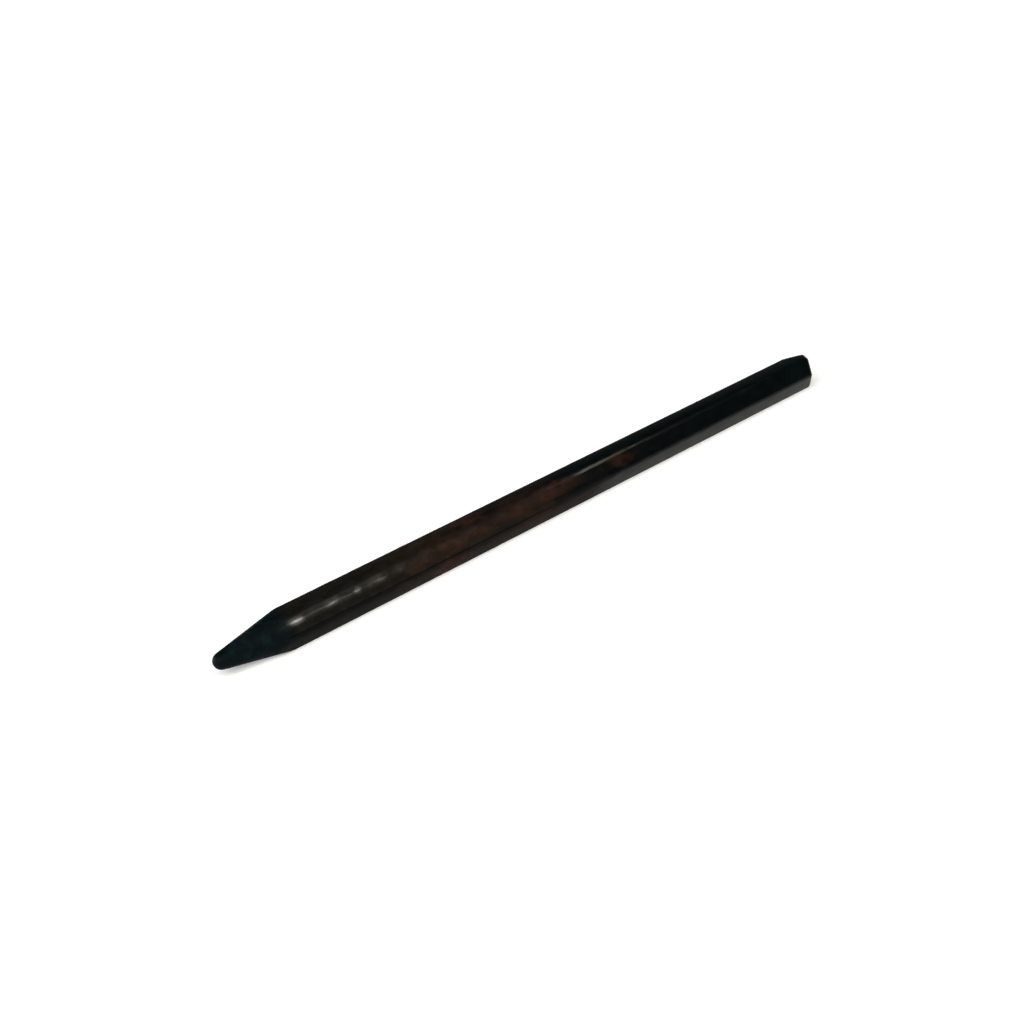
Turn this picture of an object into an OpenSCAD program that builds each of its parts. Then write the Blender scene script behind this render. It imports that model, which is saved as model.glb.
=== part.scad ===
// Hexagonal carpenter pencil, wood-cased.
// Two grooved slats are glued round a lead, milled to a hexagon, painted, dipped at the butt and
// sharpened to a cone. X runs along the pencil with the nose at -X; it lies on one flat at z = 0.

/* [Body] */
// Overall length, nose to butt
pencil_length = 180; // [120:1:260]
// Wood casing, across flats
casing_flats = 8.2; // [6.6:0.1:12]
// Radius of the wood's six long edges
edge_r = 0.5; // [0.3:0.1:1]

/* [Lead and glue] */
// Diameter of the lead
lead_d = 4.2; // [2:0.1:5]
// Glue round the lead, which is the groove's radial clearance
groove_gap = 0.06; // [0.04:0.01:0.2]
// Glue between the two slats
glue_t = 0.08; // [0.04:0.01:0.2]

/* [Paint] */
// Undercoat thickness
undercoat_t = 0.05; // [0.04:0.01:0.12]
// Top lacquer thickness
lacquer_t = 0.1; // [0.06:0.01:0.2]
// Length of the butt that is dipped
dip_len = 14; // [10:0.5:40]
// Thickness of the dip over the end of the wood
dip_end_t = 0.4; // [0.2:0.05:1]

/* [Sharpened nose] */
// Half-angle of the sharpened cone
cone_half_angle = 11; // [8:0.5:20]
// Radius of the worn, rounded nose
nose_r = 1.9; // [0.5:0.1:2.2]

/* [Butt end] */
// How far out of square the butt is cut, seen from above
butt_slant = 30; // [0:1:34]
// Length of the bevel pared off the butt's upper rear edge
bevel_len = 8; // [2:0.5:9]
// Angle of that bevel to the pencil's axis
bevel_angle = 13; // [5:0.5:16]
// Radius of the worn rim round the butt's end face
rim_r = 1.2; // [0.5:0.1:2]

/* [Hidden] */
$fn = 96;

lead_r = lead_d / 2;
groove_r = lead_r + groove_gap;
undercoat_flats = casing_flats + 2 * undercoat_t;
outer_flats = undercoat_flats + 2 * lacquer_t;
outer_edge_r = edge_r + undercoat_t + lacquer_t;
axis_z = outer_flats / 2; // height of the pencil's axis above the face it lies on
nose_x = -pencil_length / 2;
butt_x = pencil_length / 2; // the furthest point of the slanted butt
dip_x = butt_x - dip_len;
// distance from the axis to the top of a rounded edge, for a hexagon of this size
function edge_reach(flats, r) = (flats / 2 - r) / cos(30) + r;
outer_reach = edge_reach(outer_flats, outer_edge_r);
margin = 2; // cutting solids stand this far outside the pencil
edge_steps = 6; // flats in each rounded edge
rim_steps = 5; // flats across the worn rim

// Hexagon with two edges pointing sideways, each edge rounded by an arc of edge_steps flats
module hex_outline(flats, r) {
    centre = (flats / 2 - r) / cos(30);
    polygon([for (i = [0:5], k = [0:edge_steps]) let (turn = 60 * (i + k / edge_steps) - 30)
        centre * [cos(60 * i), sin(60 * i)] + r * [cos(turn), sin(turn)]]);
}

// Stands a drawing of the cross-section upright and carries it along X
module along(x0, x1) {
    translate([x0, 0, axis_z]) rotate([90, 0, 90]) linear_extrude(x1 - x0) children();
}

// Everything inside the sharpened surface: a round nose that runs into a cone
module nose_form() {
    tangent = nose_r * [cos(cone_half_angle), 1 - sin(cone_half_angle)];
    open_r = outer_reach + margin;
    open_x = tangent[1] + (open_r - tangent[0]) / tan(cone_half_angle);
    translate([nose_x, 0, axis_z]) rotate([0, 90, 0]) rotate_extrude() union() {
        intersection() {
            translate([0, nose_r]) circle(nose_r);
            square([nose_r, tangent[1]]);
        }
        polygon([[0, tangent[1]], tangent, [open_r, open_x],
            [open_r, pencil_length + margin], [0, pencil_length + margin]]);
    }
}

// A plane is [outward normal, distance from the middle of the pencil's axis]
end_normal = [cos(butt_slant), -sin(butt_slant), 0];
function flat_plane(i, depth) = [[0, cos(60 * i + 30), sin(60 * i + 30)], outer_flats / 2 - depth];
function bevel_plane(depth) =
    [[sin(bevel_angle), cos(bevel_angle) * cos(60), cos(bevel_angle) * sin(60)],
    sin(bevel_angle) * (butt_x - bevel_len) + cos(bevel_angle) * outer_reach - depth];
// A side plane, the planes that roll round the rim on an arc of rim_r, and the end plane
function rim_planes(side, end) = [for (k = [0:rim_steps + 1]) let (
    cosine = side[0] * end[0],
    turn = acos(cosine),
    part = k / (rim_steps + 1),
    normal = (sin((1 - part) * turn) * side[0] + sin(part * turn) * end[0]) / sin(turn),
    side_d = side[1] - rim_r,
    end_d = end[1] - rim_r,
    centre = ((side_d - cosine * end_d) * side[0] + (end_d - cosine * side_d) * end[0]) / (1 - pow(cosine, 2)))
    [normal, normal * centre + rim_r]];
// How far the rounded rim reaches along X at mid-height, for an end plane through the origin
function crossing_x(a, b) = (a[1] * b[0][1] - b[1] * a[0][1]) / (a[0][0] * b[0][1] - b[0][0] * a[0][1]);
function rim_reach(planes) = max([for (k = [0:rim_steps]) crossing_x(planes[k], planes[k + 1])]);
end_distance = cos(butt_slant) * (butt_x - rim_reach(rim_planes(flat_plane(0, 0), [end_normal, 0])));

// Everything on the inner side of a plane
module half_space(plane) {
    size = 3 * pencil_length;
    translate([0, 0, axis_z]) rotate([0, acos(plane[0][2]), atan2(plane[0][1], plane[0][0])])
        translate([-size / 2, -size / 2, plane[1] - size]) cube(size);
}

// Everything inside the slanted, round-rimmed butt and its bevel, both drawn back by a depth
module butt_form(depth_end, depth_side) {
    end = [end_normal, end_distance - depth_end];
    bevel = bevel_plane(depth_side);
    sides = [for (i = [0:5]) flat_plane(i, depth_side), bevel];
    rim = [for (side = sides, k = [1:rim_steps]) rim_planes(side, end)[k]];
    intersection_for(plane = [bevel, end, each rim]) half_space(plane);
}

// What the sharpening and the butt's cuts leave of the wood, lead and undercoat
module trimmed() {
    intersection() {
        children();
        nose_form();
        butt_form(dip_end_t, lacquer_t);
    }
}

// The lead with the glue round it, and the glue between the slats
module glue_space() {
    union() {
        square([2 * outer_reach, glue_t], center = true);
        circle(groove_r);
    }
}

module lead() {
    color("#2b2c2f") trimmed() along(nose_x, butt_x) circle(lead_r);
}

module glue_film() {
    color("#7d6a45") trimmed() along(nose_x, butt_x) difference() {
        intersection() {
            hex_outline(casing_flats, edge_r);
            glue_space();
        }
        circle(lead_r);
    }
}

// One half of the casing: side is 1 above the glue and -1 below it
module slat(side) {
    trimmed() along(nose_x, butt_x) difference() {
        intersection() {
            hex_outline(casing_flats, edge_r);
            translate([0, side * outer_reach]) square(2 * outer_reach, center = true);
        }
        glue_space();
    }
}

module upper_slat() {
    color("#1d2428") slat(1);
}

module lower_slat() {
    color("#1b2226") slat(-1);
}

module undercoat() {
    color("#4a2a1c") trimmed() along(nose_x, butt_x) difference() {
        hex_outline(undercoat_flats, edge_r + undercoat_t);
        hex_outline(casing_flats, edge_r);
    }
}

module lacquer() {
    color("#16130f") intersection() {
        along(nose_x, dip_x) difference() {
            hex_outline(outer_flats, outer_edge_r);
            hex_outline(undercoat_flats, edge_r + undercoat_t);
        }
        nose_form();
    }
}

// The dip takes the lacquer's place at the butt, flush with it, and closes the end
module end_dip() {
    color("#0d1112") difference() {
        intersection() {
            along(dip_x, butt_x) hex_outline(outer_flats, outer_edge_r);
            butt_form(0, 0);
        }
        trimmed() along(dip_x - margin, butt_x) hex_outline(undercoat_flats, edge_r + undercoat_t);
    }
}

lead();
upper_slat();
lower_slat();
glue_film();
undercoat();
lacquer();
end_dip();
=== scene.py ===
from math import cos, log, pi, radians, sin, tan

import bmesh
import bpy
import numpy as np
from mathutils import Matrix, Vector


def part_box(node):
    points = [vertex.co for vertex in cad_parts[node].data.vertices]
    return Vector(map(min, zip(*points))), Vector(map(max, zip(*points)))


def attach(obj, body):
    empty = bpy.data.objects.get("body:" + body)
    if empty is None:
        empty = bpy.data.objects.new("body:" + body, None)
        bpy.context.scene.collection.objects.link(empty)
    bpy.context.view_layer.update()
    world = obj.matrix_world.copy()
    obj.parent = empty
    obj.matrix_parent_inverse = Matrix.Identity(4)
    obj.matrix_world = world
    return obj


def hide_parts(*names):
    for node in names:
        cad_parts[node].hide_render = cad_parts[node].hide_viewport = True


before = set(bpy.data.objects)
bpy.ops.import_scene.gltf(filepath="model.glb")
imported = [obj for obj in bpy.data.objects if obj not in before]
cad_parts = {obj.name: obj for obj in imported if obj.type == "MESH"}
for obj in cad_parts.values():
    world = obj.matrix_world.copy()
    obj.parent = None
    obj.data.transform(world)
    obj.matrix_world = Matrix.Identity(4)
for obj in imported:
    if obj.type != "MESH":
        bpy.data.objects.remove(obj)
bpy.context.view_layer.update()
mm = 0.001

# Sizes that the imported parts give. The nose is at -X, and the pencil lies on one flat at z = 0.
leadLow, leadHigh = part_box("lead")
woodLow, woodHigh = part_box("upper_slat")
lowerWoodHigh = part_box("lower_slat")[1]
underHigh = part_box("undercoat")[1]
skinLow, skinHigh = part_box("lacquer")
dipLow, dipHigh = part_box("end_dip")
tipX = leadLow.x
buttX = dipHigh.x
dipX = dipLow.x
axisZ = (skinLow.z + skinHigh.z) / 2
leadRadius = (leadHigh.y - leadLow.y) / 2
glueHalf = (woodLow.z - lowerWoodHigh.z) / 2
woodFlat, woodEdge = woodHigh.z - axisZ, woodHigh.y
underFlat, underEdge = underHigh.z - axisZ, underHigh.y
skinFlat, skinEdge = skinHigh.z - axisZ, skinHigh.y
faceTurns = radians(30) + radians(60) * np.arange(6)  # which way the six flats face

sharpening = {
    "halfAngle": 11,  # of the cone, in degrees
    "noseRadius": 1.9 * mm,
    "ringDepth": 0.007 * mm,  # chatter rings left by the blade
    "ringPitch": 0.85 * mm,
    "ringWander": 1.7,  # radians
    "shavings": 9,  # faint flats round the cone
    "shavingDepth": 0.03 * mm,
    "shavingTwist": 14,  # radians per metre
    "shavingStart": 0.6,
}
butt = {
    "slant": 30,  # degrees out of square, seen from above
    "bevelLength": 8 * mm,
    "bevelAngle": 13,  # degrees to the axis
    "bevelTurn": 60,  # the edge that is pared, in degrees from +Y up
    "rimRadius": 1.2 * mm,
    "rimSteps": 16,
    "rimSamples": 200,  # points tried to find how far the rim reaches
    "endDip": 0.4 * mm,  # dip over the end of the wood
}
handWear = {
    "depth": 0.30 * mm,  # how far the hand has rounded an edge
    "front": (0.6, 0.0, 0.85, 1.0, 0.0, 0.6),  # share of it near the cone, six edges from +Y up
    "back": (0.0, 0.0, 0.75, 0.0, 0.0, 0.0),  # and further back
    "change": (-13 * mm, 15 * mm),
    "lastEdge": (58 * mm, 72 * mm),  # where the last of it ends
}
coating = {
    "swell": 0.08 * mm,  # the paint stands fuller in the middle of a flat, but not below
    "worn": 0.03 * mm,  # and thinner along every edge
    "lyingOn": 270,  # the flat it lies on, in degrees from +Y up
}
merging = {
    "pointsWithin": 0.0005 * mm,
    "edgesBelow": 0.0001 * mm,
    "sharpAbove": 38,  # degrees between faces
}


def hexRadius(turn, flat, edge):
    # Distance from the axis to a six-sided outline: flat / (sum of cos(turn - face)^p)^(1/p) over
    # the six faces, where p makes the rounded edges reach out to edge.
    power = log(2) / np.log(flat / cos(radians(30)) / np.asarray(edge))
    facing = np.clip(np.cos(np.asarray(turn)[..., None] - faceTurns), 0, 1)
    return flat / (facing ** power[..., None]).sum(-1) ** (1 / power)


def smooth(x, low, high):
    # 0 below low and 1 above high, with 3t^2 - 2t^3 between.
    t = np.clip((x - low) / (high - low), 0, 1)
    return t * t * (3 - 2 * t)


def handled(x, turn, edge):
    # The reach of the edges after wear: edge - depth * (front to back share of the nearest edge).
    nearest = np.round(np.degrees(turn) / 60).astype(int) % 6
    front, back = np.array(handWear["front"])[nearest], np.array(handWear["back"])[nearest]
    share = front + (back - front) * smooth(x, *handWear["change"])
    return edge - handWear["depth"] * share * (1 - smooth(x, *handWear["lastEdge"]))


def acrossFlat(turn):
    # Place across a flat, -1 at one edge and 1 at the next: tan(angle from its middle) / tan 30.
    off = (np.asarray(turn) % radians(60)) - radians(30)
    return np.tan(off) / tan(radians(30))


def coatedOutline(x, turn):
    # The lacquered outline: hexRadius, raised by swell * (1 - t^2) in the middle of a flat and
    # lowered by worn * t^2 towards its edges; the flat it lies on has stayed level and only loses
    # worn * t^8.
    t = acrossFlat(turn)
    full = np.abs(np.degrees(turn) % 360 - coating["lyingOn"]) > 30
    lift = np.where(full, coating["swell"] * (1 - t ** 2), 0)
    lift = lift - coating["worn"] * np.where(full, t ** 2, t ** 8)
    return hexRadius(turn, skinFlat, handled(x, turn, skinEdge)) + lift


def coneRadius(x):
    # Radius of the sharpened surface: a sphere of noseRadius, then the cone that touches it.
    along = np.asarray(x) - tipX
    nose, half = sharpening["noseRadius"], radians(sharpening["halfAngle"])
    ball = np.sqrt(np.clip(nose ** 2 - (nose - along) ** 2, 0, None))
    cone = nose / cos(half) + (along - nose) * tan(half)
    return np.where(along < nose * (1 - sin(half)), ball, cone)


def coneX(radius):
    # Where the cone has that radius: the formula of coneRadius solved for x.
    nose, half = sharpening["noseRadius"], radians(sharpening["halfAngle"])
    return tipX + nose + (radius - nose / cos(half)) / tan(half)


def bladeMarks(x, turn):
    # Depth of the blade's marks: slow flats, (1 - |sin|)^2 round the cone, plus rings that wander
    # with the turn, 0.5 + 0.5 sin along it.
    along = x - tipX
    wander = sharpening["ringWander"] * np.sin(turn) + np.cos(3 * turn)
    ring = 0.5 + 0.5 * np.sin(2 * pi * along / sharpening["ringPitch"] + wander)
    twist = sharpening["shavingTwist"] * along + sharpening["shavingStart"]
    flat = 1 - np.abs(np.sin(sharpening["shavings"] * turn / 2 + twist))
    return sharpening["ringDepth"] * ring + sharpening["shavingDepth"] * flat ** 2


def buttPlanes(endDepth, sideDepth):
    # Rows of [nx, ny, nz, distance from the axis at x = 0]: the slanted end, the bevel, and the
    # planes that roll over the rim from each side onto the end along an arc of rimRadius.
    slant, rim = radians(butt["slant"]), butt["rimRadius"]
    tilt, pared = radians(butt["bevelAngle"]), radians(butt["bevelTurn"])
    end = np.array([cos(slant), -sin(slant), 0])
    sides = [(np.array([0, cos(a), sin(a)]), skinFlat) for a in faceTurns]
    bevel = (np.array([sin(tilt), cos(tilt) * cos(pared), cos(tilt) * sin(pared)]),
             sin(tilt) * (buttX - butt["bevelLength"]) + cos(tilt) * skinEdge)

    def roll(side, sideDistance, endDistance):
        meet = side @ end
        turn = np.arccos(meet)
        part = (np.arange(butt["rimSteps"] + 1) + 0.5) / (butt["rimSteps"] + 1)
        fromSide, toEnd = np.sin((1 - part) * turn)[:, None], np.sin(part * turn)[:, None]
        normals = (fromSide * side + toEnd * end) / sin(turn)
        a, b = sideDistance - rim, endDistance - rim
        centre = ((a - meet * b) * side + (b - meet * a) * end) / (1 - meet ** 2)
        return np.c_[normals, normals @ centre + rim]

    # With the end plane at 0, see how far the +Y side's middle reaches, and move it to buttX.
    level = np.r_[roll(*sides[0], 0), roll(*sides[5], 0), [[*end, 0]]]
    y = np.linspace(0, skinEdge, butt["rimSamples"])[:, None]
    furthest = ((level[:, 3] - level[:, 1] * y) / level[:, 0]).min(-1).max()
    endDistance = cos(slant) * (buttX - furthest)
    rows = [np.r_[end, endDistance - endDepth][None], np.r_[bevel[0], bevel[1] - sideDepth][None]]
    rows += [roll(n, d - sideDepth, endDistance - endDepth) for n, d in sides + [bevel]]
    return np.concatenate(rows)


def buttSurfaceX(y, z, planes):
    # Height field of the butt: the nearest plane over each point, the least of
    # (distance - ny y - nz z) / nx.
    sideways = y[..., None] * planes[:, 1] + (z[..., None] - axisZ) * planes[:, 2]
    return ((planes[:, 3] - sideways) / planes[:, 0]).min(-1)


def place(x, radius, turn):
    # Cylinder coordinates round the pencil's axis; turn is measured from +Y up.
    x, radius, turn = np.broadcast_arrays(x, radius, turn)
    return np.stack([x, radius * np.cos(turn), axisZ + radius * np.sin(turn)], -1)


def wholeTurn(steps):
    # Evenly spaced turns from +Y up, one per row of a grid.
    return np.linspace(0, 2 * pi, steps, endpoint=False)[:, None]


def wallMesh(name, outer, inner=None, wrap=True, startEdge=True, endEdge=True):
    # Closed skin from one or two matching grids of points (turn by length). The outer grid faces
    # out, the inner one in, and strips of quads close the edges between them; poles and doubles
    # are merged.
    turns, steps = outer.shape[:2]
    grid = np.arange(turns * steps).reshape(turns, steps)

    def sheetFaces(ids):
        ids = np.concatenate([ids, ids[:1]]) if wrap else ids
        return np.stack([ids[:-1, :-1], ids[:-1, 1:], ids[1:, 1:], ids[1:, :-1]], -1).reshape(-1, 4)

    def strip(a, b, closed):
        a, b = (np.append(a, a[0]), np.append(b, b[0])) if closed else (a, b)
        return np.stack([a[:-1], b[:-1], b[1:], a[1:]], -1)

    points, faces = outer.reshape(-1, 3), [sheetFaces(grid)]
    if inner is not None:
        points = np.concatenate([points, inner.reshape(-1, 3)])
        under = grid + grid.size
        faces.append(sheetFaces(under)[:, ::-1])
        if startEdge:
            faces.append(strip(grid[:, 0], under[:, 0], wrap))
        if endEdge:
            faces.append(strip(grid[:, -1], under[:, -1], wrap)[:, ::-1])
        if not wrap:
            faces.append(strip(grid[0], under[0], False)[:, ::-1])
            faces.append(strip(grid[-1], under[-1], False))
    faces = np.concatenate(faces)
    mesh = bpy.data.meshes.new(name)
    mesh.vertices.add(len(points))
    mesh.vertices.foreach_set("co", points.ravel())
    mesh.loops.add(faces.size)
    mesh.loops.foreach_set("vertex_index", faces.ravel())
    mesh.polygons.add(len(faces))
    mesh.polygons.foreach_set("loop_start", np.arange(0, faces.size, 4))
    mesh.update(calc_edges=True)
    work = bmesh.new()
    work.from_mesh(mesh)
    bmesh.ops.remove_doubles(work, verts=work.verts, dist=merging["pointsWithin"])
    bmesh.ops.dissolve_degenerate(work, edges=work.edges, dist=merging["edgesBelow"])
    bmesh.ops.recalc_face_normals(work, faces=work.faces)
    work.to_mesh(mesh)
    work.free()
    mesh.validate()
    mesh.shade_smooth()
    mesh.set_sharp_from_angle(angle=radians(merging["sharpAbove"]))
    piece = bpy.data.objects.new(name, mesh)
    bpy.context.scene.collection.objects.link(piece)
    return piece


def outfit(piece, node, material):
    piece.data.materials.append(material)
    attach(piece, "root")
    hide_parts(node)
    print(piece.name, "built in place of", node)


def addNode(tree, kind, **values):
    made = tree.nodes.new("ShaderNode" + kind)
    for key, value in values.items():
        setattr(made, key, value)
    return made


def feed(tree, socket, value):
    # Links a socket, or sets a plain value on it.
    if isinstance(value, bpy.types.NodeSocket):
        tree.links.new(value, socket)
    else:
        socket.default_value = value


def mathNode(tree, operation, *values, clamp=False):
    made = addNode(tree, "Math", operation=operation, use_clamp=clamp)
    for socket, value in zip(made.inputs, values):
        feed(tree, socket, value)
    return made.outputs[0]


def blendColour(tree, factor, a, b):
    made = addNode(tree, "Mix", data_type="RGBA")
    feed(tree, made.inputs["Factor"], factor)
    feed(tree, made.inputs[6], a)  # the colour sockets A and B
    feed(tree, made.inputs[7], b)
    return made.outputs[2]


def blendNumber(tree, factor, a, b):
    made = addNode(tree, "Mix", data_type="FLOAT")
    feed(tree, made.inputs["Factor"], factor)
    feed(tree, made.inputs["A"], a)
    feed(tree, made.inputs["B"], b)
    return made.outputs[0]


def rangeNode(tree, value, low, high, toLow=0.0, toHigh=1.0, soft=True):
    made = addNode(tree, "MapRange", interpolation_type="SMOOTHSTEP" if soft else "LINEAR")
    ends = {"From Min": low, "From Max": high, "To Min": toLow, "To Max": toHigh}
    for key, item in {"Value": value, **ends}.items():
        feed(tree, made.inputs[key], item)
    return made.outputs["Result"]


def fromTo(tree, mask, start, end, soft=True):
    # start where the mask is 0, end where it is 1
    return rangeNode(tree, mask, 0.0, 1.0, start, end, soft)


def noiseNode(tree, at, scale, detail):
    made = addNode(tree, "TexNoise", noise_dimensions="3D")
    feed(tree, made.inputs["Vector"], at)
    feed(tree, made.inputs["Scale"], scale)
    feed(tree, made.inputs["Detail"], detail)
    return made.outputs["Fac"]


def newGroup(name, inputs, outputs):
    # Place is a vector; every other input is a number with the value given, and so is each output.
    group = bpy.data.node_groups.new(name, "ShaderNodeTree")
    group.interface.new_socket("Place", in_out="INPUT", socket_type="NodeSocketVector")
    for label, value in inputs.items():
        socket = group.interface.new_socket(label, in_out="INPUT", socket_type="NodeSocketFloat")
        socket.default_value = value
    for label in outputs:
        group.interface.new_socket(label, in_out="OUTPUT", socket_type="NodeSocketFloat")
    ins, outs = group.nodes.new("NodeGroupInput"), group.nodes.new("NodeGroupOutput")
    return group, ins.outputs, outs.inputs


def useGroup(tree, group, at, values):
    made = addNode(tree, "Group", node_tree=group)
    for key, value in {"Place": at, **values}.items():
        feed(tree, made.inputs[key], value)
    return made.outputs


lineDetail = 2.0  # noise detail of the streaks and of the stretches' ends


def makeMottle():
    # Cloudy patches: noise at Place, cut to a soft mask between Low and High.
    group, ins, outs = newGroup(
        "cloudyMottle", {"Scale": 300.0, "Detail": 3.0, "Low": 0.4, "High": 0.6}, ("Mask",))
    noise = noiseNode(group, ins["Place"], ins["Scale"], ins["Detail"])
    feed(group, outs["Mask"], rangeNode(group, noise, ins["Low"], ins["High"]))
    return group


def makeStreaks():
    # Long fine lines: noise at Place with x / Stretch, given as a height and cut to a soft mask.
    group, ins, outs = newGroup(
        "longStreaks", {"Stretch": 14.0, "Scale": 900.0, "Low": 0.55, "High": 0.75},
        ("Mask", "Height"))
    squeeze = addNode(group, "CombineXYZ")
    feed(group, squeeze.inputs["X"], mathNode(group, "DIVIDE", 1.0, ins["Stretch"]))
    feed(group, squeeze.inputs["Y"], 1.0)
    feed(group, squeeze.inputs["Z"], 1.0)
    drawn = addNode(group, "VectorMath", operation="MULTIPLY")
    feed(group, drawn.inputs[0], ins["Place"])
    feed(group, drawn.inputs[1], squeeze.outputs[0])
    noise = noiseNode(group, drawn.outputs[0], ins["Scale"], lineDetail)
    feed(group, outs["Mask"], rangeNode(group, noise, ins["Low"], ins["High"]))
    feed(group, outs["Height"], noise)
    return group


def makeStretch():
    # A stretch of the pencil's length with ragged, soft ends: x plus (noise - 0.5) * Ragged, rising
    # over Softness after Start and falling over Softness before End.
    group, ins, outs = newGroup(
        "raggedStretch",
        {"Start": 0.0, "End": 0.01, "Softness": 0.01, "Ragged": 0.01, "Scale": 80.0}, ("Mask",))
    axes = addNode(group, "SeparateXYZ")
    feed(group, axes.inputs[0], ins["Place"])
    noise = noiseNode(group, ins["Place"], ins["Scale"], lineDetail)
    wander = mathNode(group, "MULTIPLY", mathNode(group, "SUBTRACT", noise, 0.5), ins["Ragged"])
    x = mathNode(group, "ADD", axes.outputs["X"], wander)
    risen = mathNode(group, "ADD", ins["Start"], ins["Softness"])
    falling = mathNode(group, "SUBTRACT", ins["End"], ins["Softness"])
    rise = rangeNode(group, x, ins["Start"], risen)
    fall = rangeNode(group, x, falling, ins["End"], 1.0, 0.0)
    feed(group, outs["Mask"], mathNode(group, "MULTIPLY", rise, fall))
    return group


mottle, streaks, stretch = makeMottle(), makeStreaks(), makeStretch()
beforeNose = tipX - 30 * mm  # a stretch that starts here has only its far end on the pencil
finePattern = {"Scale": 1500.0, "Detail": 2.0, "Low": 0.35, "High": 0.65}
scratchPattern = {"Stretch": 16.0, "Scale": 1500.0, "Low": 0.60, "High": 0.74}


def newMaterial(name, plainValues):
    # A material, with the values that are the same all over set on its own shader.
    material = bpy.data.materials.new(name)
    material.use_nodes = True
    tree = material.node_tree
    shader = tree.nodes["Principled BSDF"].inputs
    for key, value in plainValues.items():
        shader[key].default_value = value
    return material, tree, shader, addNode(tree, "TexCoord").outputs["Object"]


def bumpInto(tree, shader, height, distance):
    bump = addNode(tree, "Bump")
    feed(tree, bump.inputs["Strength"], 1.0)
    feed(tree, bump.inputs["Distance"], distance)
    feed(tree, bump.inputs["Height"], height)
    feed(tree, shader["Normal"], bump.outputs["Normal"])


def srgb(r, g, b):
    # Screen values 0-255 to linear colour: ((c / 255 + 0.055) / 1.055)^2.4, or c / 255 / 12.92 for
    # the darkest.
    c = np.array([r, g, b]) / 255
    linear = np.where(c > 0.04045, ((c + 0.055) / 1.055) ** 2.4, c / 12.92)
    return (*linear.tolist(), 1.0)


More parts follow.
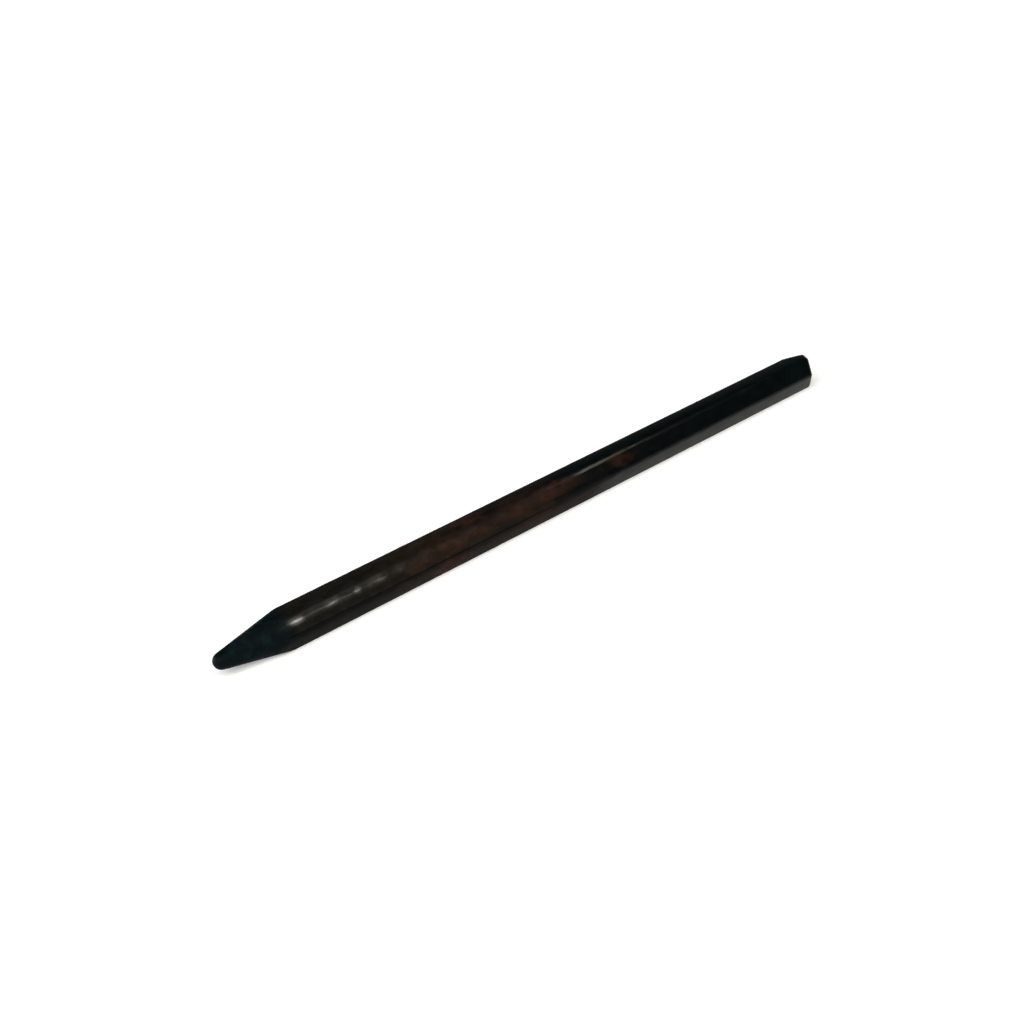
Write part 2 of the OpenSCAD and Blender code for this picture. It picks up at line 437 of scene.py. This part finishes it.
lacquer = {
    "perFlat": 28,
    "stepsAlong": 230,
    "crowding": 1.25,  # above 1, the steps stand closer at the sharpened end
    "uneven": 0.03 * mm,  # where the hand has worn it
    "unevenLoss": 0.5,  # the share of it that is gone further back
    "unevenFade": (-35 * mm, 50 * mm),  # where that starts, and how long it takes
    "ripples": 9,
    "rippleLengths": (3.5, 11),  # mm
    "rippleTurns": (-3, 4),  # waves round the pencil, from -3 to 3
    "rippleSeed": 4,
    "lip": 0.05 * mm,  # the worn lip at the sharpened end
    "lipLength": 0.35 * mm,
    # colours
    "black": srgb(4, 8, 9),
    "handled": srgb(21, 20, 16),  # where the hand has dulled the black
    "handledPaintedShadeBelow": srgb(9, 9, 8),  # the same on the lower flats, darker there as painted shade
    "showThrough": srgb(45, 29, 22),  # undercoat seen through thin lacquer
    "rubbed": srgb(56, 33, 25),  # nearly bare undercoat
    "scuffed": srgb(10, 17, 19),  # blackened by the sharpened end's dust
    "shadow": (0.0, 0.0, 0.0, 1.0),
    "patchShade": 0.34,  # share of shadow in the patches and in the fine mottle
    "fineShade": 0.14,
    # where the wear lies: heights over the axis, from 0 to 1 of each mask, then places along it
    "lowerFlats": (0.1 * mm, -0.5 * mm),
    "frontFlat": (2.0 * mm, 0.4 * mm),
    "topFlat": (2.6 * mm, 3.7 * mm),
    "thinStart": -55 * mm,
    "thinEnd": 16 * mm,
    "thinEndAbove": 6 * mm,
    "thinEdge": {"Softness": 19 * mm, "Ragged": 12 * mm, "Scale": 110.0},
    "thinCloud": 0.6,  # how much is missing between the clouds
    "thinAbove": 0.45,  # share of it left on top and on the front
    "thinFront": 0.62,
    "handledEnd": -22 * mm,  # on top; the lower flats were handled further back
    "handledEndBelow": 20 * mm,
    "handledEdge": {"Softness": 14 * mm, "Ragged": 10 * mm, "Scale": 60.0},
    "scuffEnd": -70.6 * mm,
    "scuffEdge": {"Softness": 4.5 * mm, "Ragged": 7 * mm, "Scale": 300.0},
    # gloss and roughness
    "sheen": 0.022,  # specular level of the dulled surface
    "glossCoat": 0.27,  # gloss where the lacquer is untouched
    "handledCoat": 0.055,
    "handledCoatBelow": 0.036,
    "thinCoat": 0.45,  # share of the gloss left on thin lacquer
    "coatLoss": {"patch": -0.30, "fine": -0.25, "scratch": -0.5, "scuffed": -0.9, "bare": -1.6},
    "polish": 0.42,  # gloss added where fingers have polished it
    "coatRoughness": 0.12,
    "roughness": (0.30, 0.42),  # untouched, handled
    "fineRoughness": 0.05,
    "scratchRoughness": 0.14,
    # patterns
    "clouds": {"Stretch": 2.4, "Scale": 330.0, "Low": 0.30, "High": 0.68},
    "patches": {"Stretch": 1.8, "Scale": 620.0, "Low": 0.34, "High": 0.66},
    "skin": {"Scale": 620.0, "Detail": 3.0, "Low": 0.2, "High": 0.8},
    "scratchDepth": -0.35,
    "bump": 0.012 * mm,
    # rubbed spots: x and turn from +Y up in mm and degrees, radius along, radius round, strength
    "spots": [(-34, 206, 5.0, 2.0, 0.6), (1.8, 129, 4.2, 1.4, 0.4), (-1.0, 120, 6.5, 1.1, 0.46),
              (18.5, 144, 5.4, 1.8, 0.42), (-25, 96, 5.0, 2.0, 0.35), (-18, 24, 7.0, 1.8, 0.5),
              (-26, 300, 6.0, 1.8, 0.4), (38, 330, 4.0, 1.4, 0.4)],
    "spotEdge": (0.3, 1.5, 0.45),  # where the edge starts and ends, in radii, and how ragged it is
    # patches where the black is whole, in the same terms
    "whole": [(3.0, 171, 9.0, 1.7, 0.95), (9.5, 150, 3.2, 1.5, 0.62), (27.5, 150, 4.0, 1.9, 0.85),
              (-16, 176, 9.0, 1.2, 0.6), (-12, 60, 6.0, 1.5, 0.6)],
    "wholeEdge": (0.4, 1.5, 0.5),
    # glossy touches in the middle of the front flat
    "polished": [(-71.8, 143, 1.7, 1.15, 0.92), (-62.8, 142, 1.7, 0.9, 0.58),
                 (-56.4, 144, 0.9, 0.8, 0.55), (-51.2, 144, 2.2, 1.2, 0.25),
                 (-45.8, 143, 2.4, 1.3, 0.20)],
    "polishedEdge": (0.1, 1.6, 0.5),
}


def lacquerMaterial():
    # Colour runs from black through handled (darker on the lower flats as painted shade), thin and
    # rubbed to scuffed as each mask goes from 0 to 1; gloss is the coat's, times 1 + mask * loss
    # for each kind of wear, plus polish where it has been touched.
    material, tree, shader, at = newMaterial("worn black lacquer", {
        "Specular IOR Level": lacquer["sheen"], "Coat Roughness": lacquer["coatRoughness"]})
    axes = addNode(tree, "SeparateXYZ")
    feed(tree, axes.inputs[0], at)

    def between(heights):
        return rangeNode(tree, axes.outputs["Z"], axisZ + heights[0], axisZ + heights[1])

    def times(a, b):
        return mathNode(tree, "MULTIPLY", a, b)

    def plus(mask, amount, base):
        return mathNode(tree, "MULTIPLY_ADD", mask, amount, base)

    clouds = useGroup(tree, streaks, at, lacquer["clouds"])["Mask"]
    patch = useGroup(tree, streaks, at, lacquer["patches"])["Mask"]
    fine = useGroup(tree, mottle, at, finePattern)["Mask"]
    scratch = useGroup(tree, streaks, at, scratchPattern)["Mask"]

    def touched(spots, edge):
        # The strongest of the spots at each place: strength * (1 - smooth step over the distance
        # from the spot's middle in radii, roughened by the patches).
        low, high, ragged = edge
        total = 0.0
        for x, turn, along, around, strength in spots:
            squash = addNode(tree, "Mapping", vector_type="TEXTURE")
            feed(tree, squash.inputs["Vector"], at)
            squash.inputs["Location"].default_value = place(x * mm, skinFlat, radians(turn))
            squash.inputs["Scale"].default_value = (along * mm, around * mm, around * mm)
            away = addNode(tree, "VectorMath", operation="LENGTH")
            feed(tree, away.inputs[0], squash.outputs[0])
            reach = plus(patch, ragged, away.outputs["Value"])
            spot = times(rangeNode(tree, reach, low, high, 1.0, 0.0), strength)
            total = mathNode(tree, "MAXIMUM", total, spot)
        return total

    lower, front, top = (between(lacquer[key]) for key in ("lowerFlats", "frontFlat", "topFlat"))
    whole = touched(lacquer["whole"], lacquer["wholeEdge"])
    bare = touched(lacquer["spots"], lacquer["spotEdge"])
    polished = touched(lacquer["polished"], lacquer["polishedEdge"])
    fading = mathNode(tree, "SUBTRACT", 1.0, whole)

    thinEnd = fromTo(tree, top, lacquer["thinEnd"], lacquer["thinEndAbove"])
    thin = useGroup(tree, stretch, at, {
        "Start": lacquer["thinStart"], "End": thinEnd, **lacquer["thinEdge"]})["Mask"]
    thin = times(thin, plus(clouds, lacquer["thinCloud"], 1 - lacquer["thinCloud"]))
    thin = times(thin, fromTo(tree, top, 1.0, lacquer["thinAbove"]))
    thin = times(thin, fromTo(tree, front, 1.0, lacquer["thinFront"]))
    thin = times(thin, fading)
    dulledEnd = fromTo(tree, front, lacquer["handledEnd"], lacquer["handledEndBelow"])
    dulled = useGroup(tree, stretch, at, {
        "Start": beforeNose, "End": dulledEnd, **lacquer["handledEdge"]})["Mask"]
    scuffed = useGroup(tree, stretch, at, {
        "Start": beforeNose, "End": lacquer["scuffEnd"], **lacquer["scuffEdge"]})["Mask"]

    # on the lower flats the handled colour turns darker: painted shade on the underside
    dullColourShadedBelow = blendColour(tree, lower, lacquer["handled"], lacquer["handledPaintedShadeBelow"])
    colour = blendColour(tree, times(dulled, fading), lacquer["black"], dullColourShadedBelow)
    colour = blendColour(tree, thin, colour, lacquer["showThrough"])
    colour = blendColour(tree, bare, colour, lacquer["rubbed"])
    colour = blendColour(tree, scuffed, colour, lacquer["scuffed"])
    shade = plus(patch, lacquer["patchShade"], times(fine, lacquer["fineShade"]))
    feed(tree, shader["Base Color"], blendColour(tree, shade, colour, lacquer["shadow"]))

    rough = fromTo(tree, dulled, *lacquer["roughness"], soft=False)
    rough = plus(fine, lacquer["fineRoughness"], rough)
    feed(tree, shader["Roughness"], plus(scratch, lacquer["scratchRoughness"], rough))

    dullCoat = fromTo(tree, lower, lacquer["handledCoat"], lacquer["handledCoatBelow"])
    coat = blendNumber(tree, dulled, lacquer["glossCoat"], dullCoat)
    coat = times(coat, fromTo(tree, thin, 1.0, lacquer["thinCoat"], soft=False))
    loss = lacquer["coatLoss"]
    worn = {"patch": patch, "fine": fine, "scratch": scratch, "scuffed": scuffed}
    for kind, mask in worn.items():
        coat = times(coat, plus(mask, loss[kind], 1.0))
    coat = times(coat, mathNode(tree, "MULTIPLY_ADD", bare, loss["bare"], 1.0, clamp=True))
    feed(tree, shader["Coat Weight"], plus(polished, lacquer["polish"], coat))

    skin = useGroup(tree, mottle, at, lacquer["skin"])["Mask"]
    bumpInto(tree, shader, plus(scratch, lacquer["scratchDepth"], skin), lacquer["bump"])
    return material


def ripple(x, turn):
    # Slow unevenness from -1 to 1: a mean of sines whose lengths along and round the pencil are
    # drawn once.
    rng = np.random.default_rng(lacquer["rippleSeed"])
    total = np.zeros(np.broadcast(x, turn).shape)
    for k in range(lacquer["ripples"]):
        length = rng.uniform(*lacquer["rippleLengths"]) * mm
        around = rng.integers(*lacquer["rippleTurns"])
        total = total + np.sin(2 * pi * x / length + around * turn + rng.uniform(0, 2 * pi))
    return total / lacquer["ripples"]


def lacquerSkin():
    # Outer sheet: coatedOutline, lowered by ripple and by lip * exp(-distance / lipLength), from
    # where the cone cuts it to the dip. Inner sheet: the undercoat's outline, from the cone's cut
    # through that.
    turn = wholeTurn(6 * lacquer["perFlat"])
    share = np.linspace(0, 1, lacquer["stepsAlong"])[None, :] ** lacquer["crowding"]
    startX = coneX(coatedOutline(tipX, turn))
    x = startX + share * (dipX - startX)
    fadeStart, fadeLength = lacquer["unevenFade"]
    fade = lacquer["unevenLoss"] * np.clip((x - fadeStart) / fadeLength, 0, 1)
    radius = coatedOutline(x, turn) - lacquer["uneven"] * (1 - fade) * ripple(x, turn)
    radius = radius - lacquer["lip"] * np.exp(-(x - startX) / lacquer["lipLength"])
    outer = place(x, radius, turn)
    innerX = coneX(hexRadius(turn, underFlat, handled(tipX, turn, underEdge)))
    x = innerX + share * (dipX - innerX)
    inner = place(x, hexRadius(turn, underFlat, handled(x, turn, underEdge)), turn)
    outfit(wallMesh("lacquer_skin", outer, inner), "lacquer", lacquerMaterial())


undercoat = {
    "perFlat": 28,
    "stepsAlong": 120,
    "redBrown": srgb(66, 34, 24),
    "darker": srgb(48, 27, 20),
    "sooty": srgb(4, 9, 11),  # blackened where the cone cuts it
    "sootyEnd": -66 * mm,
    "sootyEdge": {"Softness": 2 * mm, "Ragged": 2 * mm, "Scale": 300.0},
    "clouds": {"Scale": 500.0, "Detail": 3.0, "Low": 0.3, "High": 0.7},
    "sheen": 0.03,
    "roughness": (0.6, 0.75),
    "bump": 0.01 * mm,
}


def undercoatMaterial():
    # Two red-browns blended by the clouds, blackened as far as sootyEnd.
    material, tree, shader, at = newMaterial("red-brown undercoat", {
        "Specular IOR Level": undercoat["sheen"]})
    clouds = useGroup(tree, mottle, at, undercoat["clouds"])["Mask"]
    sooty = useGroup(tree, stretch, at, {
        "Start": beforeNose, "End": undercoat["sootyEnd"], **undercoat["sootyEdge"]})["Mask"]
    colour = blendColour(tree, clouds, undercoat["redBrown"], undercoat["darker"])
    feed(tree, shader["Base Color"], blendColour(tree, sooty, colour, undercoat["sooty"]))
    feed(tree, shader["Roughness"], fromTo(tree, clouds, *undercoat["roughness"]))
    bumpInto(tree, shader, clouds, undercoat["bump"])
    return material


def undercoatLayer():
    # Thin sleeve between wood and lacquer: both outlines from where the cone cuts them to the
    # butt's planes.
    turn = wholeTurn(6 * undercoat["perFlat"])
    share = np.linspace(0, 1, undercoat["stepsAlong"])[None, :]

    def sheet(flat, edge):
        rim = place(0, hexRadius(turn, flat, edge), turn)
        endX = buttSurfaceX(rim[..., 1], rim[..., 2], buttPlanes(butt["endDip"], skinFlat - flat))
        startX = coneX(hexRadius(turn, flat, handled(tipX, turn, edge)))
        x = startX + share * (endX - startX)
        return place(x, hexRadius(turn, flat, handled(x, turn, edge)), turn)

    piece = wallMesh("undercoat_layer", sheet(underFlat, underEdge), sheet(woodFlat, woodEdge))
    outfit(piece, "undercoat", undercoatMaterial())


dip = {
    "perFlat": 28,
    "raysFrom": 10.5 * mm,  # how far inside the butt the rays start
    "swings": ((0, 16, 9), (16, 52, 73), (52, 90, 10)),  # degrees off the axis, closest at the rim
    "stepsForward": 14,
    "crowding": 1.6,
    "seam": 0.02 * mm,  # the step down where the dip meets the lacquer
    "seamLength": 0.25 * mm,
    "black": srgb(2, 6, 7),
    "greyer": srgb(4, 8, 9),
    "clouds": {"Scale": 260.0, "Detail": 3.0, "Low": 0.3, "High": 0.75},
    "skin": {"Scale": 520.0, "Detail": 3.0, "Low": 0.2, "High": 0.8},
    "sheen": 0.022,
    "coat": (0.25, 0.18),  # gloss between the fine marks and in them
    "coatRoughness": 0.12,
    "roughness": 0.30,
    "fineRoughness": 0.06,
    "scratchRoughness": 0.15,
    "scratchDepth": -0.3,
    "bump": 0.012 * mm,
}


def dipMaterial():
    # Two blacks blended by the clouds; roughness + mask * amount for the fine mottle and for the
    # scratches.
    material, tree, shader, at = newMaterial("black end dip", {
        "Specular IOR Level": dip["sheen"], "Coat Roughness": dip["coatRoughness"]})
    clouds = useGroup(tree, mottle, at, dip["clouds"])["Mask"]
    fine = useGroup(tree, mottle, at, finePattern)["Mask"]
    scratch = useGroup(tree, streaks, at, scratchPattern)["Mask"]
    feed(tree, shader["Base Color"], blendColour(tree, clouds, dip["black"], dip["greyer"]))
    rough = mathNode(tree, "MULTIPLY_ADD", fine, dip["fineRoughness"], dip["roughness"])
    rough = mathNode(tree, "MULTIPLY_ADD", scratch, dip["scratchRoughness"], rough)
    feed(tree, shader["Roughness"], rough)
    feed(tree, shader["Coat Weight"], fromTo(tree, fine, *dip["coat"], soft=False))
    skin = useGroup(tree, mottle, at, dip["skin"])["Mask"]
    height = mathNode(tree, "MULTIPLY_ADD", scratch, dip["scratchDepth"], skin)
    bumpInto(tree, shader, height, dip["bump"])
    return material


def endCup():
    # Rays from a point inside the butt, swung from the axis (0) to square (90 degrees), meet the
    # nearest of the butt's planes or the six-sided outline; from there straight rows run forward to
    # the dip's front edge.
    turn = wholeTurn(6 * dip["perFlat"])
    swings = [np.linspace(*part) for part in dip["swings"]]
    swing = radians(1) * np.concatenate([swings[0][:-1], swings[1][:-1], swings[2]])[None, :]
    ray = np.stack([np.cos(swing) + 0 * turn, np.sin(swing) * np.cos(turn),
                    np.sin(swing) * np.sin(turn)], -1)
    forward = np.linspace(1, 0, dip["stepsForward"])[None, 1:] ** dip["crowding"]
    fromX = buttX - dip["raysFrom"]

    def sheet(outline, endDepth, sideDepth, seam):
        planes = buttPlanes(endDepth, sideDepth)
        facing = ray @ planes[:, :3].T
        distance = (planes[:, 3] - planes[:, 0] * fromX) / np.where(facing > 1e-6, facing, np.nan)
        sideways = outline / np.clip(np.sin(swing), 1e-9, None)
        length = np.fmin(np.nanmin(distance, -1), sideways)
        cap = np.array([fromX, 0, axisZ]) + length[..., None] * ray
        x = dipX + forward * (fromX - dipX)
        radius = outline - seam * np.exp(-(x - dipX) / dip["seamLength"])
        return np.concatenate([cap, place(x, radius, turn)], 1)

    outer = sheet(coatedOutline(dipX, turn), 0, 0, dip["seam"])
    inner = sheet(hexRadius(turn, underFlat, underEdge), butt["endDip"], skinFlat - underFlat, 0)
    piece = wallMesh("end_cup", outer, inner, startEdge=False)
    outfit(piece, "end_dip", dipMaterial())


slats = {
    "perHalf": 90,
    "stepsCone": 76,
    "stepsBody": 60,
    "stepsEnd": 12,
    "endCrowding": 1.5,
    "grooveSpare": 0.005 * mm,
    "marksFadeBack": 1.2 * mm,  # the blade's marks fade out towards the paint and towards the lead
    "marksFadeFront": 0.8 * mm,
    "stained": (srgb(4, 10, 13), srgb(6, 13, 16)),  # between and along the grain
    "violet": srgb(8, 9, 14),
    "violetShare": 0.7,
    "blueGreen": srgb(10, 24, 27),  # where the graphite has been rubbed off
    "blueGreenShare": 0.55,
    "pore": srgb(2, 6, 8),
    "poreShare": 0.6,
    "grain": {"Stretch": 26.0, "Scale": 1100.0, "Low": 0.42, "High": 0.66},
    "pores": {"Stretch": 9.0, "Scale": 3200.0, "Low": 0.60, "High": 0.72},
    "clouds": {"Scale": 480.0, "Detail": 2.0, "Low": 0.46, "High": 0.66},
    "stains": {"Scale": 260.0, "Detail": 2.0, "Low": 0.44, "High": 0.64},
    "sheen": 0.03,
    "grainHeight": (0.3, 0.7),  # the low and the high of the grain
    "roughness": (0.55, 0.75),  # and the roughness there
    "poreDepth": -0.8,
    "bump": 0.03 * mm,
}


def woodMaterial():
    # Dark stain by the grain, then violet, blue-green and pore colours, each by its mask times its
    # share.
    material, tree, shader, at = newMaterial("blackened wood", {
        "Specular IOR Level": slats["sheen"]})
    grain = useGroup(tree, streaks, at, slats["grain"])
    pores = useGroup(tree, streaks, at, slats["pores"])["Mask"]
    clouds = useGroup(tree, mottle, at, slats["clouds"])["Mask"]
    stains = useGroup(tree, mottle, at, slats["stains"])["Mask"]
    colour = blendColour(tree, grain["Mask"], *slats["stained"])
    for mask, name in ((stains, "violet"), (clouds, "blueGreen"), (pores, "pore")):
        share = mathNode(tree, "MULTIPLY", mask, slats[name + "Share"])
        colour = blendColour(tree, share, colour, slats[name])
    feed(tree, shader["Base Color"], colour)
    rough = rangeNode(tree, grain["Height"], *slats["grainHeight"], *slats["roughness"])
    feed(tree, shader["Roughness"], rough)
    height = mathNode(tree, "MULTIPLY_ADD", pores, slats["poreDepth"], grain["Height"])
    bumpInto(tree, shader, height, slats["bump"])
    return material


def slat(side, material):
    # Outer sheet for half a turn: up the cone (with the blade's marks), along the six-sided body
    # and in over the butt to the groove. Inner sheet: the groove. Points are kept glueHalf clear of
    # the parting plane.
    groove = leadRadius + slats["grooveSpare"]
    turn = side * np.linspace(0, pi, slats["perHalf"] + 1)[:, None]
    outline = hexRadius(turn, woodFlat, woodEdge)
    planes = buttPlanes(butt["endDip"], skinFlat - woodFlat)
    frontX, creaseX = coneX(groove), coneX(hexRadius(turn, woodFlat, handled(tipX, turn, woodEdge)))
    x = frontX + np.linspace(0, 1, slats["stepsCone"])[None, :] * (creaseX - frontX)
    fadeBack = np.clip((creaseX - x) / slats["marksFadeBack"], 0, 1)
    fadeFront = np.clip((x - frontX) / slats["marksFadeFront"], 0, 1)
    cone = place(x, coneRadius(x) - fadeBack * fadeFront * bladeMarks(x, turn), turn)
    rim = place(0, outline, turn)
    rimX = buttSurfaceX(rim[..., 1], rim[..., 2], planes)
    x = creaseX + np.linspace(0, 1, slats["stepsBody"])[None, 1:] * (rimX - creaseX)
    body = place(x, hexRadius(turn, woodFlat, handled(x, turn, woodEdge)), turn)
    inward = np.linspace(0, 1, slats["stepsEnd"])[None, 1:] ** slats["endCrowding"]
    face = place(0, outline + inward * (groove - outline), turn)
    face[..., 0] = buttSurfaceX(face[..., 1], face[..., 2], planes)
    outer = np.concatenate([cone, body, face], 1)
    inner = place(0, groove, turn + 0 * outer[..., 0])
    share = np.clip((outer[..., 0] - frontX) / (rimX - frontX), 0, 1)
    share[:, -slats["stepsEnd"] + 1:] = 1
    inner[..., 0] = frontX + share * (face[:, -1:, 0] - frontX)
    for sheet in (outer, inner):
        sheet[..., 2] = axisZ + side * np.maximum(side * (sheet[..., 2] - axisZ), glueHalf)
    name, node = ("upper_half", "upper_slat") if side > 0 else ("lower_half", "lower_slat")
    outfit(wallMesh(name, outer, inner, wrap=False), node, material)


lead = {
    "perTurn": 96,
    "stepsBall": 26,
    "stepsCone": 16,
    "stepsCore": 12,
    "coreEnd": 12 * mm,  # how far before the butt the straight rows stop
    "endRings": 5,
    "wear": 0.05 * mm,  # one side of the nose is flattened by drawing with it
    "wearPlace": 0.9 * mm,  # behind the tip
    "wearLength": 0.8 * mm,
    "wearTurn": -115,  # degrees from +Y up
    "graphite": (srgb(3, 8, 10), srgb(6, 12, 14)),
    "clouds": {"Scale": 700.0, "Detail": 3.0, "Low": 0.3, "High": 0.7},
    "grit": {"Scale": 4200.0, "Detail": 2.0, "Low": 0.35, "High": 0.65},
    "sheen": 0.035,
    "roughness": (0.48, 0.62),
    "bump": 0.008 * mm,
}


def graphiteMaterial():
    # Two greys of graphite and their roughness blended by the clouds, with fine grit as the bump.
    material, tree, shader, at = newMaterial("worn graphite", {"Specular IOR Level": lead["sheen"]})
    clouds = useGroup(tree, mottle, at, lead["clouds"])["Mask"]
    grit = useGroup(tree, mottle, at, lead["grit"])["Mask"]
    feed(tree, shader["Base Color"], blendColour(tree, clouds, *lead["graphite"]))
    feed(tree, shader["Roughness"], fromTo(tree, clouds, *lead["roughness"]))
    bumpInto(tree, shader, grit, lead["bump"])
    return material


def leadCore():
    # One sheet from the worn nose to the butt: the ball and cone of coneRadius, lowered by
    # wear * exp(-((x - place) / length)^2) * cos^2 of the turn, then the core and the butt's
    # slanted end.
    turn = wholeTurn(lead["perTurn"])
    swing = np.linspace(0, pi / 2, lead["stepsBall"])[None, :]
    ballShare = 1 - radians(sharpening["halfAngle"]) / (pi / 2)
    ball = tipX + sharpening["noseRadius"] * (1 - np.cos(swing * ballShare))
    coneEnd = coneX(leadRadius)
    x = np.concatenate([ball, np.linspace(ball[0, -1], coneEnd, lead["stepsCone"])[None, 1:]], 1)
    worn = lead["wear"] * np.exp(-((x - tipX - lead["wearPlace"]) / lead["wearLength"]) ** 2)
    worn = worn * np.clip(np.cos(turn - radians(lead["wearTurn"])), 0, 1) ** 2
    front = place(x, np.maximum(coneRadius(x) - worn, 0), turn)
    x = np.linspace(coneEnd, buttX - lead["coreEnd"], lead["stepsCore"])[None, 1:]
    core = place(x, leadRadius, turn)
    rings = place(0, np.linspace(leadRadius, 0, lead["endRings"])[None, :], turn)
    planes = buttPlanes(butt["endDip"], skinFlat - woodFlat)
    rings[..., 0] = buttSurfaceX(rings[..., 1], rings[..., 2], planes)
    piece = wallMesh("lead_core", np.concatenate([front, core, rings], 1))
    outfit(piece, "lead", graphiteMaterial())


glue = {
    "dark": (srgb(4, 8, 9), srgb(8, 12, 13)),
    "clouds": {"Scale": 900.0, "Detail": 2.0, "Low": 0.3, "High": 0.7},
    "sheen": 0.05,
    "roughness": (0.45, 0.6),
    "bump": 0.006 * mm,
}


def glueMaterial():
    # Two dark colours and their roughness blended by the clouds.
    material, tree, shader, at = newMaterial("glue line", {"Specular IOR Level": glue["sheen"]})
    clouds = useGroup(tree, mottle, at, glue["clouds"])["Mask"]
    feed(tree, shader["Base Color"], blendColour(tree, clouds, *glue["dark"]))
    feed(tree, shader["Roughness"], fromTo(tree, clouds, *glue["roughness"]))
    bumpInto(tree, shader, clouds, glue["bump"])
    return material


lacquerSkin()
undercoatLayer()
endCup()
wood = woodMaterial()
slat(1, wood)
slat(-1, wood)
leadCore()

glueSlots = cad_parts["glue_film"].data.materials
glueLine = glueMaterial()
for k in range(len(glueSlots)):
    glueSlots[k] = glueLine
print("glue line finished")


studio = {
    "floorFlat": 3.0,  # metres of level floor round the pencil, then it sweeps up
    "floorReach": 5.5,
    "floorRise": 0.9,
    "floorTurns": 96,
    "floorSteps": 28,
    "floorRings": (0, 0.05, 0.2, 0.6),  # rings close round the pencil, in metres
    "floorColour": (0.82, 0.82, 0.82, 1.0),
    "floorRoughness": 0.9,
    "liftNear": 0.23,  # white added to the floor for the camera and for reflections
    "liftFar": 1.0,
    "liftChange": (0.10, 0.42),  # metres from the pencil
    "worldLow": (0.028, 0.037, 0.038, 1.0),
    "worldHigh": (0.045, 0.052, 0.053, 1.0),
    "worldChange": (0.1, 0.9),  # from the horizon (0) to straight up (1)
}


def sweptFloor():
    # Round floor: level to floorFlat, then height = rise * ((r - flat) / (reach - flat))^2.
    flat, reach = studio["floorFlat"], studio["floorReach"]
    turn = wholeTurn(studio["floorTurns"])
    steps = np.linspace(flat / 2, reach, studio["floorSteps"])
    r = np.r_[studio["floorRings"], steps][None, :]
    height = studio["floorRise"] * np.clip((r - flat) / (reach - flat), 0, None) ** 2
    points = np.stack([r * np.cos(turn), r * np.sin(turn), height + 0 * turn], -1)
    floor = wallMesh("studio_floor", points)
    if floor.data.polygons[0].normal.z <= 0:
        floor.data.flip_normals()
    material, tree, shader, at = newMaterial("pale floor", {
        "Base Color": studio["floorColour"], "Roughness": studio["floorRoughness"],
        "Emission Color": (1, 1, 1, 1)})
    rays = addNode(tree, "LightPath").outputs
    seen = mathNode(tree, "MAXIMUM", rays["Is Glossy Ray"], rays["Is Transmission Ray"])
    seen = mathNode(tree, "MAXIMUM", rays["Is Camera Ray"], seen)
    away = addNode(tree, "VectorMath", operation="LENGTH")
    feed(tree, away.inputs[0], at)
    lift = rangeNode(tree, away.outputs["Value"], *studio["liftChange"],
                     studio["liftNear"], studio["liftFar"])
    feed(tree, shader["Emission Strength"], mathNode(tree, "MULTIPLY", seen, lift))
    floor.data.materials.append(material)


def skyLight():
    # Faint world light, from worldLow at the horizon to worldHigh overhead.
    world = bpy.data.worlds.new("studio")
    bpy.context.scene.world = world
    world.use_nodes = True
    sky = world.node_tree
    axes = addNode(sky, "SeparateXYZ")
    feed(sky, axes.inputs[0], addNode(sky, "TexCoord").outputs["Generated"])
    upward = rangeNode(sky, axes.outputs["Z"], *studio["worldChange"])
    feed(sky, sky.nodes["Background"].inputs["Color"],
         blendColour(sky, upward, studio["worldLow"], studio["worldHigh"]))


sweptFloor()
skyLight()
print("floor and sky ready")

# direction from the pencil, distance, size along the pencil and across, watts, colour
lamps = {
    "key softbox": ((-0.60, -0.42, 0.68), 1.3, 1.0, 1.0, 20.0, (1.0, 0.99, 0.97)),
    "side softbox": ((0.285, -0.80, 0.53), 1.1, 0.17, 0.035, 0.80, (1.0, 0.98, 0.92)),
    "side glow": ((0.215, -0.72, 0.66), 1.15, 0.43, 0.62, 5.7, (1.0, 0.97, 0.86)),
    "top lamp": ((0.569, -0.285, 0.77), 1.1, 0.018, 0.60, 1.10, (1.0, 0.99, 0.74)),
    "back fill": ((-0.74, 0.65, 0.15), 1.3, 0.7, 0.30, 12.0, (0.97, 0.99, 1.0)),
}
for name, (direction, distance, along, across, power, colour) in lamps.items():
    light = bpy.data.lights.new(name, "AREA")
    light.shape = "RECTANGLE"
    light.size, light.size_y = along, across
    light.energy, light.color = power, colour
    away = Vector(direction).normalized()
    sideways = (Vector((1, 0, 0)) - away * away.x).normalized()
    turned = Matrix((sideways, away.cross(sideways), away)).transposed().to_4x4()
    lamp = bpy.data.objects.new(name, light)
    lamp.matrix_world = Matrix.Translation(away * distance) @ turned
    bpy.context.scene.collection.objects.link(lamp)

shot = {
    "aim": (-11.2 * mm, 1.33 * mm, axisZ),
    "distance": 327.05 * mm,
    "azimuth": 33.827,  # degrees from +Y towards +X
    "down": 25.623,
    "roll": 10.380,
    "lens": 50,
    "sensor": 36,
    "nearest": 0.01,
}
camera = bpy.data.objects.new("camera", bpy.data.cameras.new("camera"))
camera.data.lens, camera.data.sensor_width = shot["lens"], shot["sensor"]
camera.data.clip_start = shot["nearest"]
aimed = (Matrix.Rotation(-radians(shot["azimuth"]), 4, "Z")
         @ Matrix.Rotation(radians(90 - shot["down"]), 4, "X")
         @ Matrix.Rotation(-radians(shot["roll"]), 4, "Z"))
camera.matrix_world = (Matrix.Translation(Vector(shot["aim"])) @ aimed
                       @ Matrix.Translation((0, 0, shot["distance"])))
bpy.context.scene.collection.objects.link(camera)
bpy.context.scene.camera = camera
bpy.context.scene.view_settings.view_transform = "Standard"
print("lamps and camera ready")
